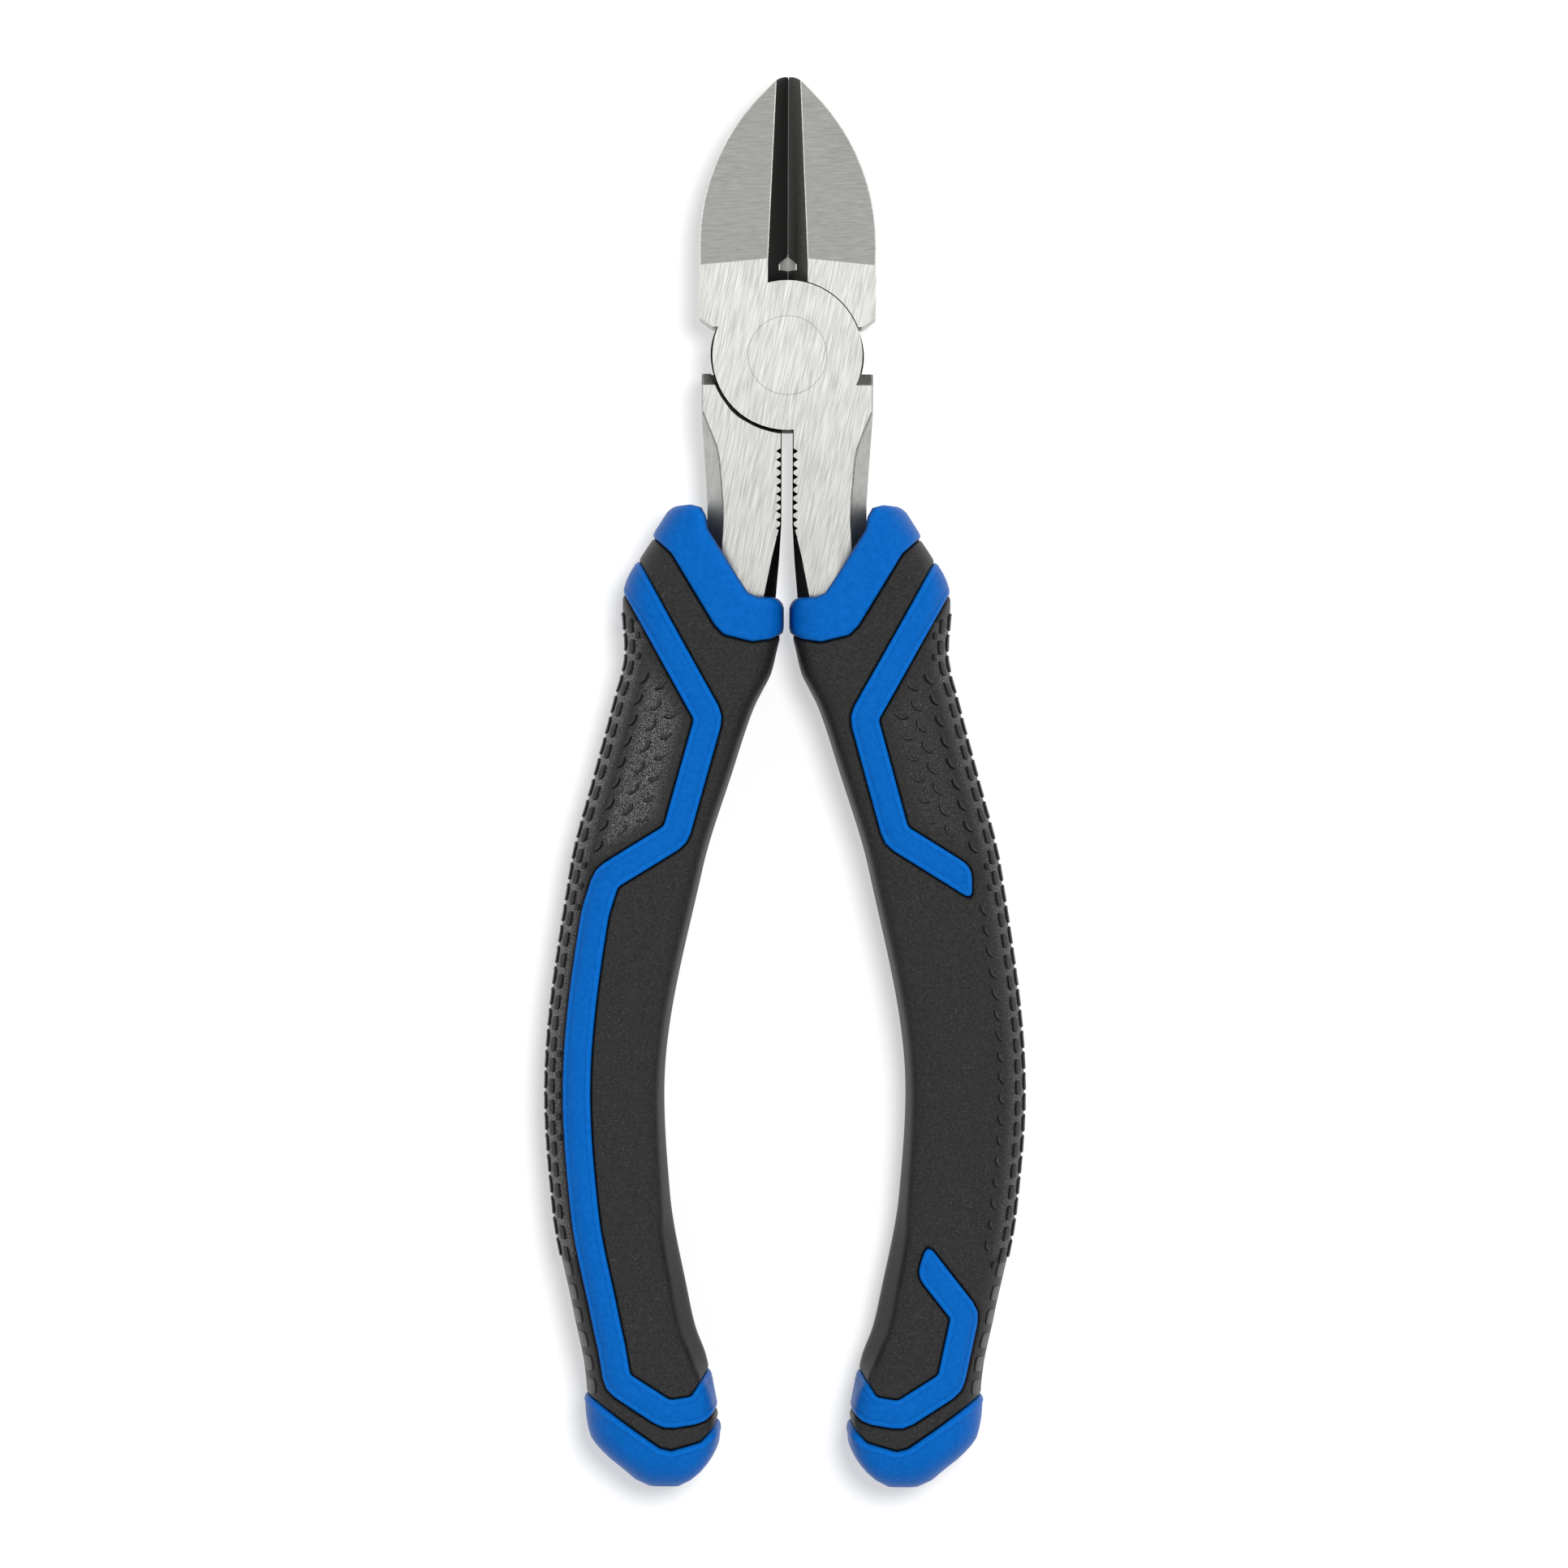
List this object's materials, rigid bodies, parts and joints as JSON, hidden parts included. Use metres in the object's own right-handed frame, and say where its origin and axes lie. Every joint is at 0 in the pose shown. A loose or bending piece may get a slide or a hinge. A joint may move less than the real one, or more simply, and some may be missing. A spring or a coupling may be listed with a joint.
{
  "type": "diagonal cutting pliers",
  "caption": "Diagonal cutting pliers with bevelled pointed jaws, a riveted lap joint and two-colour moulded grips with a ribbon stripe.",
  "frame": {"origin": "on the pivot axis, at the centre of the joint's flat rear face", "axes": "+Y towards the jaw tips, +X to the right seen from the front, +Z out of the front face"},
  "size_m": [0.056, 0.1656, 0.016],
  "materials": {
    "lever_steel": "ground and brushed faces, black oxide in the cutting bevels",
    "rivet_steel": "ground flush with the joint",
    "core_plastic": "plain moulded",
    "soft_black": "fine leathery moulded texture",
    "blue_plastic": "satin moulded"
  },
  "bodies": {
    "front_half": {"front_lever": "lever_steel", "pivot_rivet": "rivet_steel", "right_grip_core": "core_plastic", "right_grip_cover": "soft_black", "right_grip_collar": "blue_plastic", "right_grip_stripe": "blue_plastic", "right_grip_end_cap": "blue_plastic"},
    "rear_half": {"rear_lever": "lever_steel", "left_grip_core": "core_plastic", "left_grip_cover": "soft_black", "left_grip_collar": "blue_plastic", "left_grip_stripe": "blue_plastic", "left_grip_end_cap": "blue_plastic"}
  },
  "joints": [
    {"name": "pivot", "type": "hinge", "parent": "front_half", "child": "rear_half", "pos_m": [0, 0, 0.005], "axis": [0, 0, -1], "range_deg": [0, 30]}
  ]
}
